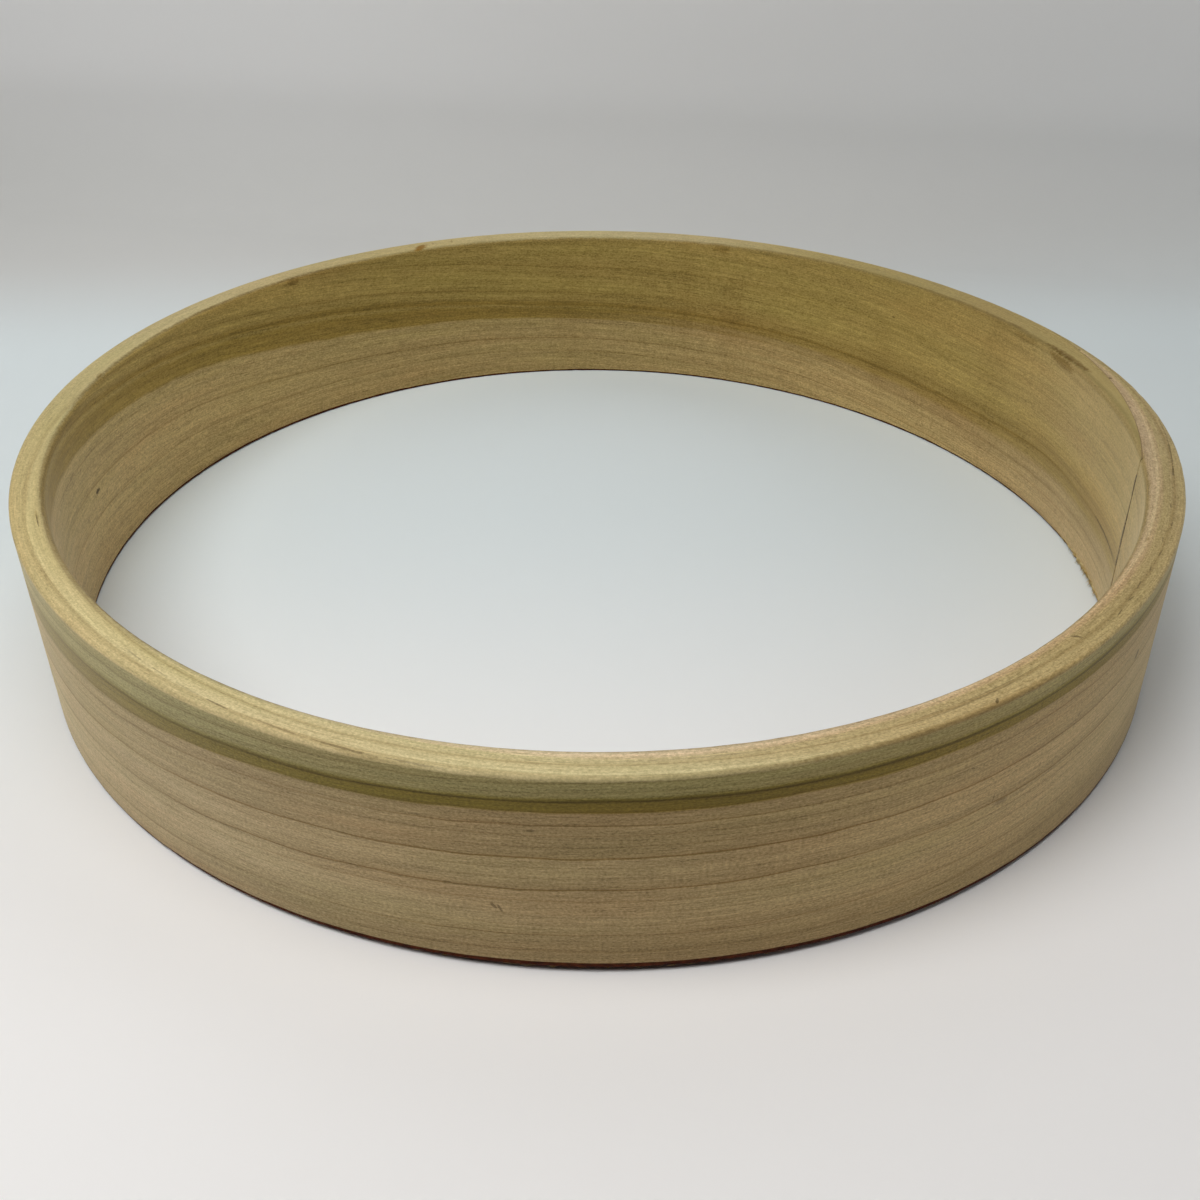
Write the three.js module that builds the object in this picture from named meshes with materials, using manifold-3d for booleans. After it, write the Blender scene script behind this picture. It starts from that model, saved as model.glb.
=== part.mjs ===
// A wooden drum hoop: one board steamed and bent into a ring. Its two ends taper
// to feather edges, lap over each other in a long scarf joint, and are held by a film of glue.
// Millimetres and degrees. +Z is up, and the hoop stands on the plane z = 0.
// Turns are counted round +Z from +X, and depth is counted inwards from the outer face.
import * as THREE from 'three';
import { mergeVertices } from 'three/addons/utils/BufferGeometryUtils.js';
import Module from 'manifold-3d';

const wasm = await Module();
wasm.setup();

// The board.
const boardWidth = 65;
const boardThickness = 10.8;
const topOuterRound = 1;
const topInnerRound = 2.2;
const bottomEase = 0.5;

// The ring that it is bent to.
const hoopDiameter = 381;
const ovalGrowth = 3;
const ovalTurn = -48;
const hollowRise = 1.6;
const hollowTurn = -85;
const hollowHalfSpan = 70;

// The scarf joint. The lapped ends are stiffer, so they stand a little out of the ring there,
// and the wall is left a little thicker.
const scarfLength = 111;
const scarfTurn = 4.3;
const lapBulge = 4;
const lapSwell = 2;
const lapReach = 86;

// The glue in the scarf.
const glueThickness = 0.3;
const glueClearance = 0.1;
const glueRecess = 0.2;
const cutOverrun = 3;

// How finely the curves are cut.
const ringSteps = 144;
const scarfSteps = 36;
const roundSteps = 4;

const meanRadius = hoopDiameter / 2;
const scarfHalfSpan = scarfLength / 2 / meanRadius;
const scarfMiddle = THREE.MathUtils.degToRad(scarfTurn);

// How much of the lap's bulge and swell is felt at this turn, from 0 to 1.
function lapShare(turn) {
  const away = Math.atan2(Math.sin(turn - scarfMiddle), Math.cos(turn - scarfMiddle));
  return Math.exp(-((away * meanRadius / lapReach) ** 2));
}

function outerRadius(turn) {
  const oval = ovalGrowth * Math.cos(2 * (turn - THREE.MathUtils.degToRad(ovalTurn)));
  return meanRadius + oval + lapBulge * lapShare(turn);
}

function wallAt(turn) {
  return boardThickness + lapSwell * lapShare(turn);
}

// The bottom edge is slightly hollow at the front, where the bent board doesn't touch the floor.
function bottomRise(turn) {
  const edge = Math.cos(THREE.MathUtils.degToRad(hollowHalfSpan));
  const along = Math.cos(turn - THREE.MathUtils.degToRad(hollowTurn));
  return hollowRise * Math.max(0, (along - edge) / (1 - edge)) ** 2;
}

// The ring's outline isn't centred on its bending axis, so its middle is found and made the origin.
function outlineMiddle() {
  const box = new THREE.Box2();
  for (let step = 0; step < ringSteps; step += 1) {
    const turn = 2 * Math.PI * step / ringSteps;
    const reach = outerRadius(turn);
    box.expandByPoint(new THREE.Vector2(reach * Math.cos(turn), reach * Math.sin(turn)));
  }
  return box.getCenter(new THREE.Vector2());
}

const middle = outlineMiddle();

// A point of the ring, at a depth into the wall and a height above the floor.
function ringPoint(turn, depth, height) {
  const reach = outerRadius(turn) - depth;
  return new THREE.Vector3(reach * Math.cos(turn) - middle.x, reach * Math.sin(turn) - middle.y, height);
}

// How far a roundover lies below the flat top, at a distance in from its face.
function roundDrop(radius, fromFace) {
  const left = Math.max(0, radius - fromFace);
  return radius - Math.sqrt(radius ** 2 - left ** 2);
}

// The height of the rounded top edge at a depth into the wall.
function topHeight(turn, depth) {
  const outerDrop = roundDrop(topOuterRound, depth);
  const innerDrop = roundDrop(topInnerRound, wallAt(turn) - depth);
  return boardWidth - Math.max(outerDrop, innerDrop);
}

// The board's section as depth and height, up the outer face, over the top and down the inner face.
function boardSection(turn) {
  const wall = wallAt(turn);
  const rise = bottomRise(turn);
  const outline = [[0, rise + bottomEase]];
  for (let step = 0; step <= roundSteps; step += 1) {
    const swing = Math.PI / 2 * step / roundSteps;
    const depth = topOuterRound * (1 - Math.cos(swing));
    outline.push([depth, boardWidth - topOuterRound * (1 - Math.sin(swing))]);
  }
  for (let step = 0; step <= roundSteps; step += 1) {
    const swing = Math.PI / 2 * step / roundSteps;
    const depth = wall - topInnerRound * (1 - Math.sin(swing));
    outline.push([depth, boardWidth - topInnerRound * (1 - Math.cos(swing))]);
  }
  outline.push([wall, rise + bottomEase], [wall - bottomEase, rise], [bottomEase, rise]);
  return outline.map(([depth, height]) => ringPoint(turn, depth, height));
}

// Skins a row of matching sections. A closed loft joins the last section to the first one.
function loft(sections, closed) {
  const size = sections[0].length;
  const faces = [];
  const spans = closed ? sections.length : sections.length - 1;
  for (let span = 0; span < spans; span += 1) {
    const near = span * size;
    const far = (span + 1) % sections.length * size;
    for (let side = 0; side < size; side += 1) {
      const next = (side + 1) % size;
      faces.push(near + side, far + side, far + next);
      faces.push(near + side, far + next, near + next);
    }
  }
  if (!closed) {
    const last = (sections.length - 1) * size;
    for (let side = 1; side < size - 1; side += 1) {
      faces.push(0, side, side + 1);
      faces.push(last, last + side + 1, last + side);
    }
  }
  const geometry = new THREE.BufferGeometry().setFromPoints(sections.flat());
  geometry.setIndex(faces);
  return geometry;
}

function toSolid(geometry) {
  const merged = mergeVertices(geometry);
  return new wasm.Manifold(new wasm.Mesh({
    numProp: 3,
    vertProperties: new Float32Array(merged.attributes.position.array),
    triVerts: new Uint32Array(merged.index.array),
  }));
}

function toGeometry(solid) {
  const mesh = solid.getMesh();
  const geometry = new THREE.BufferGeometry();
  geometry.setAttribute('position', new THREE.BufferAttribute(mesh.vertProperties, 3));
  geometry.setIndex(new THREE.BufferAttribute(mesh.triVerts, 1));
  return geometry;
}

// The scarf plane runs from the inner face at its first turn to the outer face at its last.
function scarfDepth(turn) {
  const share = (scarfMiddle + scarfHalfSpan - turn) / (2 * scarfHalfSpan);
  return wallAt(turn) * share;
}

// A thin upright sheet along the scarf plane, from one share of its length to another.
function scarfSheet(thickness, firstShare, lastShare, bottomAt, topAt) {
  const sections = [];
  for (let step = 0; step <= scarfSteps; step += 1) {
    const share = firstShare + (lastShare - firstShare) * step / scarfSteps;
    const turn = scarfMiddle + scarfHalfSpan * (2 * share - 1);
    const outer = scarfDepth(turn) - thickness / 2;
    const inner = scarfDepth(turn) + thickness / 2;
    sections.push([
      ringPoint(turn, outer, bottomAt(turn)),
      ringPoint(turn, outer, topAt(turn, outer)),
      ringPoint(turn, inner, topAt(turn, inner)),
      ringPoint(turn, inner, bottomAt(turn)),
    ]);
  }
  return loft(sections, false);
}

// The whole ring less the slot between its two tapered ends.
function bentBoard() {
  const sections = [];
  for (let step = 0; step < ringSteps; step += 1) {
    sections.push(boardSection(2 * Math.PI * step / ringSteps));
  }
  const slotWidth = glueThickness + 2 * glueClearance;
  const pastTips = cutOverrun / boardThickness;
  const slot = scarfSheet(slotWidth, -pastTips, 1 + pastTips, () => -cutOverrun, () => boardWidth + cutOverrun);
  return toGeometry(toSolid(loft(sections, true)).subtract(toSolid(slot)));
}

// The film stops just short of every face of the board, so that it doesn't stand proud anywhere.
function scarfGlueLine() {
  const atTips = (glueRecess + glueThickness / 2) / boardThickness;
  const bottomAt = (turn) => bottomRise(turn) + bottomEase;
  const topAt = (turn, depth) => topHeight(turn, depth) - glueRecess;
  return scarfSheet(glueThickness, atTips, 1 - atTips, bottomAt, topAt);
}

function piece(name, geometry, colour, roughness) {
  const flat = geometry.toNonIndexed();
  flat.computeVertexNormals();
  const material = new THREE.MeshStandardMaterial({ color: colour, roughness, metalness: 0 });
  const mesh = new THREE.Mesh(flat, material);
  mesh.name = name;
  return mesh;
}

const hoop = new THREE.Group();
hoop.add(piece('bent_board', bentBoard(), '#b49a66', 0.62));
hoop.add(piece('scarf_glue_line', scarfGlueLine(), '#6b5127', 0.45));

export default hoop;
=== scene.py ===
"""A wooden drum hoop on a pale table: a poplar board bent into a ring, its tapered ends lapped and glued.

Lengths are metres and turns are counted round +Z from +X, in degrees where a name ends in _deg and else in
radians. A place on the board is given by its turn, its depth inwards from the outer face and its height.
The board begins at the inner feather edge of the lap and runs once round, to the outer feather edge.
"""

import math

import bpy
import numpy as np
from mathutils import Matrix, Vector


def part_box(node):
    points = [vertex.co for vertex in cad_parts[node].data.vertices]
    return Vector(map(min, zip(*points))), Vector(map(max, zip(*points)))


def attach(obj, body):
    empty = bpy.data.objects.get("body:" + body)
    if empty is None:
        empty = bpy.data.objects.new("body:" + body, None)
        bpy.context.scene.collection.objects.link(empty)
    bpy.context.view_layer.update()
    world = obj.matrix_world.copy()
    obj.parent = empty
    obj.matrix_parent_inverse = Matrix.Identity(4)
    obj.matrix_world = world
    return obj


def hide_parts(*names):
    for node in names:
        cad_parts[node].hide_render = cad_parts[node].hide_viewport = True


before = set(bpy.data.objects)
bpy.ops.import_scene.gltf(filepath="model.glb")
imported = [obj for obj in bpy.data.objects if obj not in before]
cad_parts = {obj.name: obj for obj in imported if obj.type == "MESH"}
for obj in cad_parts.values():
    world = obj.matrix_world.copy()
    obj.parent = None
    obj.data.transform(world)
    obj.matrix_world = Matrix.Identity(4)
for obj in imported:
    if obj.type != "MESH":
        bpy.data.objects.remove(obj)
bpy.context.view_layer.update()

MM = 0.001

# The board's section.
board_low, board_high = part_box("bent_board")
BOARD_WIDTH = board_high.z - board_low.z
BOARD_THICKNESS = 10.8 * MM
TOP_OUTER_ROUND = 1.0 * MM
TOP_INNER_ROUND = 2.2 * MM
BOTTOM_EASE = 0.5 * MM

# The ring that it is bent to.
MEAN_RADIUS = 190.5 * MM
OVAL_GROWTH = 3.0 * MM
OVAL_TURN = math.radians(-48)
HOLLOW_RISE = 1.6 * MM
HOLLOW_TURN = math.radians(-85)
HOLLOW_HALF_SPAN = math.radians(70)

# The scarf joint. The wall stands a little out of the ring there, and is a little thicker.
SCARF_LENGTH = 111 * MM
SCARF_TURN = math.radians(4.3)
SCARF_HALF_SPAN = SCARF_LENGTH / 2 / MEAN_RADIUS
LAP_BULGE = 4.0 * MM
LAP_SWELL = 2.0 * MM
LAP_REACH = 86 * MM
TIP_THICKNESS = 0.45 * MM
GLUE_THICKNESS = 0.25 * MM

# The frame's ring has flat facets. Their middles lie this far inside the true curve, and the board stays
# within them.
FACET_SAG = 0.05 * MM

# The board's two ends, in turns.
BOARD_START = SCARF_TURN - SCARF_HALF_SPAN
BOARD_END = 2 * math.pi + SCARF_TURN + SCARF_HALF_SPAN

# How finely the board and the film are meshed.
COLUMN_STEP = 1.75 * MM
FINE_STEP = 0.3 * MM
FINE_REACH = 2.4 * MM
SIDE_ROWS = 38
ROUND_ROWS = 6
TOP_ROWS = 20
BOTTOM_ROWS = 7
FILM_COLUMNS = 140
FILM_ROWS = 34

# Wear. The faces have faint planer marks, the torn rim has pits and the bottom corners are chipped.
PLANER_DEPTH = 0.05 * MM
PIT_DEPTH = 0.05 * MM
TORN_PIT_DEPTH = 0.3 * MM
CHIP_DEPTH = 0.35 * MM
CHIP_REACH = 1.2 * MM
RIM_REACH = 0.4 * MM
TEAR_REACH = 9 * MM
# The top of the painted shade along the bottom edge: how much it wavers and how low it may come.
PAINTED_SHADE_WAVER = 0.3 * MM
PAINTED_SHADE_LEAST = 0.08 * MM

# The film lies between the tapered ends, short of their tips and of the rim.
FILM_SHORT = 0.6 * MM
FILM_SHARE = 0.9

# Torn fibres: how many stand inside the lap, in the gap under the front and on the rim, and their shape.
LAP_FIBRES = 170
GAP_FIBRES = 46
RIM_FIBRES = 420
FIBRE_SIDES = 4
FIBRE_STEPS = 5
FIBRE_TAPER = 0.85

# The heights, in millimetres, of two lines in the grain along each face, by turn in degrees. The olive
# heartwood starts at the sap line, and the heart line is the dark line above it.
OUTER_SAP_LINE = [
    (-12, 6), (30, 9), (90, 17), (150, 33), (180, 41.5), (210, 47.7), (225, 48.4), (240, 51.2),
    (255, 53.3), (270, 55), (285, 55.4), (300, 55.5), (315, 56.5), (345, 57.5), (382, 58),
]
OUTER_HEART_LINE = [
    (-12, 14), (30, 17), (90, 26), (150, 43), (180, 50), (210, 53.5), (225, 54), (240, 54.6),
    (255, 56), (270, 57.7), (285, 57.5), (300, 57.6), (315, 58.7), (345, 60), (382, 61),
]
INNER_SAP_LINE = [
    (-12, 12), (10, 13), (30, 13.8), (43, 16.5), (60, 21.5), (80, 25), (100, 28.2), (120, 31.3), (135, 36),
    (150, 42.8), (165, 47.3), (180, 51.5), (200, 56), (220, 60), (240, 64.8), (255, 67.1), (270, 69.6),
    (285, 69.7), (300, 68.3), (315, 66.8), (330, 67.6), (340, 68.3), (350, 70.5), (358, 76.4), (366, 88),
    (382, 105),
]
INNER_HEART_LINE = [
    (-12, 23.4), (0, 22.5), (15, 24.2), (30, 23.5), (43, 25.6), (60, 28.2), (80, 31.5), (100, 34.6),
    (120, 41.2), (135, 47), (150, 52.8), (165, 56.8), (180, 61.7), (200, 65), (220, 67), (240, 71), (255, 73),
    (270, 75.5), (285, 75.5), (300, 74.5), (315, 73), (330, 74), (340, 75), (350, 77), (358, 83), (366, 95),
    (382, 112),
]
# How closely the growth rings lie below the sap line on the inner face, as a share of their spacing outside.
INNER_SPACING_SHARES = [(-12, 0.75), (40, 0.72), (60, 0.68), (110, 0.68), (150, 1), (382, 1)]
HEART_BAND = 7 * MM
# How high the painted shade of the bottom edge climbs, in millimetres, highest over the gap under the front.
PAINTED_SHADE_HEIGHTS_MM = [
    (-12, 0.8), (20, 0.9), (60, 0.8), (100, 0.9), (140, 1.2), (175, 1.2), (225, 0.8), (245, 1.4), (280, 1.9),
    (305, 1.4), (335, 0.7), (382, 0.4),
]

# How the wood changes along the board, by turn in degrees: how bright the faces and the rim are, where the
# heartwood starts sharply or is dark and olive, how pale the inner face is and how brown and torn the rim is.
# The inner face is palest beside the lap. The brightness of the faces and the rim is partly painted light
# and shade, the paleness of the inner face is partly a painted sheen, and the outer face has a painted sheen
# where it is seen edge-on at the left.
SHARES_BY_TURN = {
    # Partly painted shade: darker at the front and at the far right.
    "outer_tone_and_shade": [
        (-12, 1), (200, 0.99), (228, 1), (250, 0.94), (265, 0.89), (280, 0.91), (295, 1.08), (310, 1.13),
        (326, 1.05), (340, 0.9), (360, 0.98), (382, 1),
    ],
    # Painted sheen: paler and cooler where the outer face is seen edge-on at the left.
    "outer_painted_sheen": [(-12, 0), (180, 0.15), (218, 0.6), (232, 1), (262, 0.3), (280, 0), (382, 0)],
    "outer_heart": [(-12, 0), (205, 0), (230, 0.5), (250, 1), (340, 1), (360, 0.6), (382, 0.5)],
    # Partly painted light: lighter where the inner face is seen edge-on at the left.
    "inner_tone_and_light": [
        (-12, 1), (25, 1), (60, 0.96), (125, 0.97), (142, 1.07), (157, 1.13), (175, 1.11), (190, 1), (382, 1),
    ],
    "inner_crisp": [(-12, 0), (45, 0), (100, 1), (382, 1)],
    # Partly a painted sheen where the inner face is seen edge-on, and partly the wood's own paler colour.
    "inner_pale_and_sheen": [
        (-12, 1), (5, 1), (22, 0.3), (40, 0), (145, 0), (170, 0.3), (215, 0.3), (240, 0), (382, 0),
    ],
    # Partly painted shade: darker on the right, away from the lamp; partly the torn grain's own tone.
    "rim_tone_and_shade": [
        (-12, 0.7), (10, 0.7), (30, 0.67), (60, 0.78), (78, 0.92), (95, 0.96), (120, 0.88), (145, 0.91),
        (180, 0.88), (200, 0.94), (230, 1.03), (247, 1.03), (262, 1.06), (276, 0.97), (291, 0.82),
        (305, 0.78), (320, 0.7), (350, 0.65), (382, 0.68),
    ],
    "rim_brown": [
        (-12, 0.8), (20, 1), (55, 0.95), (75, 0.2), (95, 0.15), (112, 0.5), (140, 0.2), (165, 0.25),
        (200, 0.4), (225, 0.15), (250, 0), (275, 0), (292, 0.35), (310, 0.55), (330, 0.55), (350, 0.45),
        (365, 0.6), (382, 0.75),
    ],
    "rim_tear": [
        (-12, 0.1), (180, 0.05), (230, 0.15), (280, 0.2), (292, 0.6), (320, 1), (352, 0.9), (382, 0.2),
    ],
}


def through(points, at):
    """A smooth curve through given points, level beyond both ends."""
    x, y = np.array(points, float).T
    slope = np.gradient(y, x)
    k = np.clip(np.searchsorted(x, at) - 1, 0, len(x) - 2)
    span = x[k + 1] - x[k]
    t = np.clip((at - x[k]) / span, 0, 1)
    rise = y[k + 1] - y[k]
    bend_in = slope[k] * span - rise
    bend_out = rise - slope[k + 1] * span
    return y[k] + rise * t + t * (1 - t) * (bend_in * (1 - t) + bend_out * t)


def value_noise(u, v, seed):
    """Smooth noise from 0 to 1 over a plane, one cell a unit."""
    lattice = np.random.default_rng(seed).random((128, 128))
    u, v = np.broadcast_arrays(u, v)
    i = np.floor(u).astype(int)
    j = np.floor(v).astype(int)
    s = u - i
    t = v - j
    s = s * s * (3 - 2 * s)
    t = t * t * (3 - 2 * t)
    near = lattice[i % 128, j % 128] * (1 - s) + lattice[(i + 1) % 128, j % 128] * s
    far = lattice[i % 128, (j + 1) % 128] * (1 - s) + lattice[(i + 1) % 128, (j + 1) % 128] * s
    return near * (1 - t) + far * t


# The ring's shape, as functions of the turn.


def lap_share(turn):
    away = np.arctan2(np.sin(turn - SCARF_TURN), np.cos(turn - SCARF_TURN))
    return np.exp(-((away * MEAN_RADIUS / LAP_REACH) ** 2))


def outer_radius(turn):
    oval = OVAL_GROWTH * np.cos(2 * (turn - OVAL_TURN))
    return MEAN_RADIUS + oval + LAP_BULGE * lap_share(turn)


def wall_at(turn):
    return BOARD_THICKNESS + LAP_SWELL * lap_share(turn)


def bottom_rise(turn):
    edge = math.cos(HOLLOW_HALF_SPAN)
    along = np.cos(turn - HOLLOW_TURN)
    return HOLLOW_RISE * np.clip((along - edge) / (1 - edge), 0, None) ** 2


def outline_middle():
    """The middle of the ring's outline, which is the frame's origin."""
    turn = np.radians(np.arange(0, 360, 2.5))
    x = outer_radius(turn) * np.cos(turn)
    y = outer_radius(turn) * np.sin(turn)
    return (x.max() + x.min()) / 2, (y.max() + y.min()) / 2


MIDDLE_X, MIDDLE_Y = outline_middle()


def painted_shade_height(turn):
    """How high the painted shade of the bottom edge climbs up the faces."""
    along = turn * MEAN_RADIUS
    waver = PAINTED_SHADE_WAVER * (value_noise(along / (5 * MM), 0.5, 14) - 0.5)
    climb = through(PAINTED_SHADE_HEIGHTS_MM, np.degrees(turn)) * MM + waver
    return np.maximum(climb, BOTTOM_EASE + PAINTED_SHADE_LEAST)


def ring_point(turn, depth, height):
    reach = outer_radius(turn) - FACET_SAG - depth
    x = reach * np.cos(turn) - MIDDLE_X
    y = reach * np.sin(turn) - MIDDLE_Y
    return np.stack(np.broadcast_arrays(x, y, height), -1)


def round_drop(radius, from_face):
    left = np.clip(radius - from_face, 0, radius)
    return radius - np.sqrt(radius ** 2 - left ** 2)


def top_height(turn, depth):
    outer = round_drop(TOP_OUTER_ROUND, depth)
    inner = round_drop(TOP_INNER_ROUND, wall_at(turn) - depth)
    return BOARD_WIDTH - np.maximum(outer, inner)


def scarf_depth(turn):
    """Depth of the scarf plane, from the inner face at the board's start to the outer face at its end."""
    share = np.clip((SCARF_TURN + SCARF_HALF_SPAN - turn) / (2 * SCARF_HALF_SPAN), 0, 1)
    return TIP_THICKNESS + (wall_at(turn) - 2 * TIP_THICKNESS) * share


def outer_limit(turn):
    """Depth at which the board's wood begins."""
    in_lap = turn < BOARD_END - 2 * math.pi
    return np.where(in_lap, scarf_depth(turn) + GLUE_THICKNESS / 2, 0)


def inner_limit(turn):
    """Depth at which the board's wood ends."""
    in_lap = turn > BOARD_START + 2 * math.pi
    return np.where(in_lap, scarf_depth(turn - 2 * math.pi) - GLUE_THICKNESS / 2, wall_at(turn))


def grain_ring(turn, share, height):
    """Where a place lies among the growth rings, in metres.

    That is nought at the sap line and HEART_BAND at the heart line.
    """
    turn_deg = np.degrees(turn)

    def line(outer, inner):
        outside = through(outer, turn_deg)
        inside = through(inner, turn_deg)
        return (outside + (inside - outside) * share) * MM

    sap = line(OUTER_SAP_LINE, INNER_SAP_LINE)
    heart = line(OUTER_HEART_LINE, INNER_HEART_LINE)
    spacing = 1 + (through(INNER_SPACING_SHARES, turn_deg) - 1) * share
    below = (height - sap) / spacing
    between = (height - sap) / (heart - sap) * HEART_BAND
    above = HEART_BAND + height - heart
    return np.where(height < sap, below, np.where(height < heart, between, above))


# Meshes.


def new_mesh_object(name, points, faces, smooth_deg=40):
    mesh = bpy.data.meshes.new(name)
    mesh.from_pydata([tuple(p) for p in points], [], faces)
    mesh.validate()
    mesh.polygons.foreach_set("use_smooth", [True] * len(mesh.polygons))
    mesh.set_sharp_from_angle(angle=math.radians(smooth_deg))
    made = bpy.data.objects.new(name, mesh)
    bpy.context.scene.collection.objects.link(made)
    return made


def board_turns():
    """The turns of the board's sections, closer together at its ends and where it steps down under them."""
    steps = round((BOARD_END - BOARD_START) * MEAN_RADIUS / COLUMN_STEP)
    turns = [np.linspace(BOARD_START, BOARD_END, steps + 1)]
    for place in (BOARD_START, BOARD_END, BOARD_START + 2 * math.pi, BOARD_END - 2 * math.pi):
        offsets = np.arange(-FINE_REACH, FINE_REACH, FINE_STEP)
        turns.append(place + offsets / MEAN_RADIUS)
    turns = np.unique(np.concatenate(turns))
    turns = turns[(turns > BOARD_START) & (turns < BOARD_END)]
    apart = np.diff(turns, prepend=BOARD_START) * MEAN_RADIUS > FINE_STEP / 2
    return np.concatenate([[BOARD_START], turns[apart], [BOARD_END]])


def top_shares():
    """Depths across the rim as shares of the wall, closer together on the two roundovers."""
    swing = np.linspace(0, math.pi / 2, ROUND_ROWS)
    outer = TOP_OUTER_ROUND / BOARD_THICKNESS * (1 - np.cos(swing))
    inner = 1 - TOP_INNER_ROUND / BOARD_THICKNESS * (1 - np.sin(swing))
    flat = np.linspace(outer[-1], inner[0], TOP_ROWS - 2 * ROUND_ROWS + 2)[1:-1]
    return np.concatenate([outer, flat, inner])


def board_sections(turns):
    """Depth and height of every point, as arrays of one row per section.

    A section runs up the outer face, across the rim, down the inner face and back along the bottom edge. The
    second row of each face follows the top of the painted shade along the bottom edge.
    """
    turn = turns[:, None]
    first = outer_limit(turn)
    last = inner_limit(turn)
    floor = bottom_rise(turn)
    climb = np.linspace(0, 1, SIDE_ROWS - 1)[None]
    climb[0, -2] = 0.99
    ease = np.minimum(BOTTOM_EASE, (last - first) / 3)
    across = first + (last - first) * top_shares()[None]
    stain_and_shade = floor + painted_shade_height(turn)
    up = np.concatenate([floor + ease, stain_and_shade + (top_height(turn, first) - stain_and_shade) * climb], 1)
    down = np.concatenate([floor + ease, stain_and_shade + (top_height(turn, last) - stain_and_shade) * climb], 1)[:, ::-1]
    back = last - ease - (last - first - 2 * ease) * np.linspace(0, 1, BOTTOM_ROWS)[None]
    depth = np.concatenate([first + 0 * up[:, :-1], across, last + 0 * down[:, 1:], back], 1)
    height = np.concatenate([up[:, :-1], top_height(turn, across), down[:, 1:], floor + 0 * back], 1)
    return depth, height


def wear(turn, depth, height):
    """Shifts of depth and height: planer marks on the faces, pits in the rim and chipped bottom corners."""
    along = turn * MEAN_RADIUS
    share = depth / wall_at(turn)
    on_rim = np.clip((height - top_height(turn, depth) + RIM_REACH) / RIM_REACH, 0, 1)
    tear = through(SHARES_BY_TURN["rim_tear"], np.degrees(turn))
    ripple = value_noise(along / (7 * MM), height / (16 * MM), 11)
    pits = value_noise(along / (4.5 * MM), depth / (0.55 * MM), 12) ** 3
    drop = on_rim * (PIT_DEPTH + TORN_PIT_DEPTH * tear) * pits
    low = np.clip(1 - (height - bottom_rise(turn)) / CHIP_REACH, 0, 1)
    chips = value_noise(along / (3 * MM), share * 2, 13) ** 4
    lift = low * CHIP_DEPTH * chips
    toward_middle = np.sign(0.5 - share)
    inset = (1 - on_rim) * PLANER_DEPTH * ripple * toward_middle
    return inset, lift - drop


def ragged_ends(turn, depth, height):
    """Moves the sections near the two feather edges along the board, so that these end in a torn line."""
    height_mm = height / MM
    moved = turn
    for end, seed, inward in ((BOARD_START, 21, 1), (BOARD_END, 22, -1)):
        waves = 1.1 * value_noise(height_mm / 7, 0.5, seed)
        tear = waves + 0.35 * value_noise(height_mm / 3.8, 0.5, seed + 2)
        near = np.clip(1 - np.abs(turn - end) * MEAN_RADIUS / TEAR_REACH, 0, 1)
        moved = moved + inward * near * tear * MM / MEAN_RADIUS
    return moved


def strip_faces(columns, rows):
    """Quads that skin a row of closed sections, with both ends left open."""
    first = np.arange(columns - 1)[:, None] * rows
    side = np.arange(rows)[None]
    after = (side + 1) % rows
    quads = np.stack([first + side, first + rows + side, first + rows + after, first + after], -1)
    return quads.reshape(-1, 4).tolist()


def paint_bottom_shade(mesh, columns, rows):
    """Gives the second material, painted shade, to the bottom edge and to the lowest strip of both faces."""
    inner_strip = 2 * SIDE_ROWS + TOP_ROWS - 4
    sides = np.arange(rows)
    stain_and_shade = (sides == 0) | (sides >= inner_strip)
    kinds = np.zeros(len(mesh.polygons), int)
    kinds[:(columns - 1) * rows] = np.tile(stain_and_shade, columns - 1)
    mesh.polygons.foreach_set("material_index", kinds)


def end_faces(start, rows, flip):
    """Closes one end: a strip between the two faces, and the rim's and the bottom edge's own small faces."""
    outer = [start + k for k in range(SIDE_ROWS - 1)]
    rim = [start + SIDE_ROWS - 1 + k for k in range(TOP_ROWS)]
    inner = [start + SIDE_ROWS - 1 + TOP_ROWS + k for k in range(SIDE_ROWS - 1)][::-1]
    bottom = [start + k for k in range(rows - BOTTOM_ROWS, rows)]
    faces = [[outer[k], outer[k + 1], inner[k + 1], inner[k]] for k in range(SIDE_ROWS - 2)]
    faces.append([outer[-1]] + rim + [inner[-1]])
    faces.append([inner[0]] + bottom + [outer[0]])
    return [face[::-1] for face in faces] if flip else faces


def lay_out_board(mesh, along, around, columns, rows):
    """Unrolls the board for baking: three lengths of it, one above the other."""
    lengths = 3
    layer = mesh.uv_layers.new(name="OFBake")

    def read(items, field):
        values = np.empty(len(items), int)
        items.foreach_get(field, values)
        return values

    loops = read(mesh.loops, "vertex_index")
    faces = read(mesh.polygons, "loop_start")
    sizes = read(mesh.polygons, "loop_total")
    face_of_loop = np.repeat(np.arange(len(faces)), sizes)
    length = along.max() / lengths
    tall = around.max() * (1 + 1 / rows)
    across = along[loops]
    up = around[loops]
    # A face that runs past the last row ends above it, and not at the first row.
    wraps = (up == 0) & (np.maximum.reduceat(up, faces)[face_of_loop] > around.max() / 2)
    up = np.where(wraps, tall, up)
    part = np.floor(np.minimum.reduceat(across, faces)[face_of_loop] / length).clip(0, lengths - 1)
    margin = 0.004
    u = margin + (1 - 3 * margin) * (across - part * length) / length
    v = (part + margin + (1 - 3 * margin) * up / tall) / lengths
    layer.uv.foreach_set("vector", np.stack([u, v], -1).astype(np.float32).ravel())


def add_attribute(mesh, name, values):
    kind = "FLOAT_VECTOR" if values.ndim == 2 else "FLOAT"
    layer = mesh.attributes.new(name, kind, "POINT")
    layer.data.foreach_set("vector" if values.ndim == 2 else "value", values.astype(np.float32).ravel())


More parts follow.
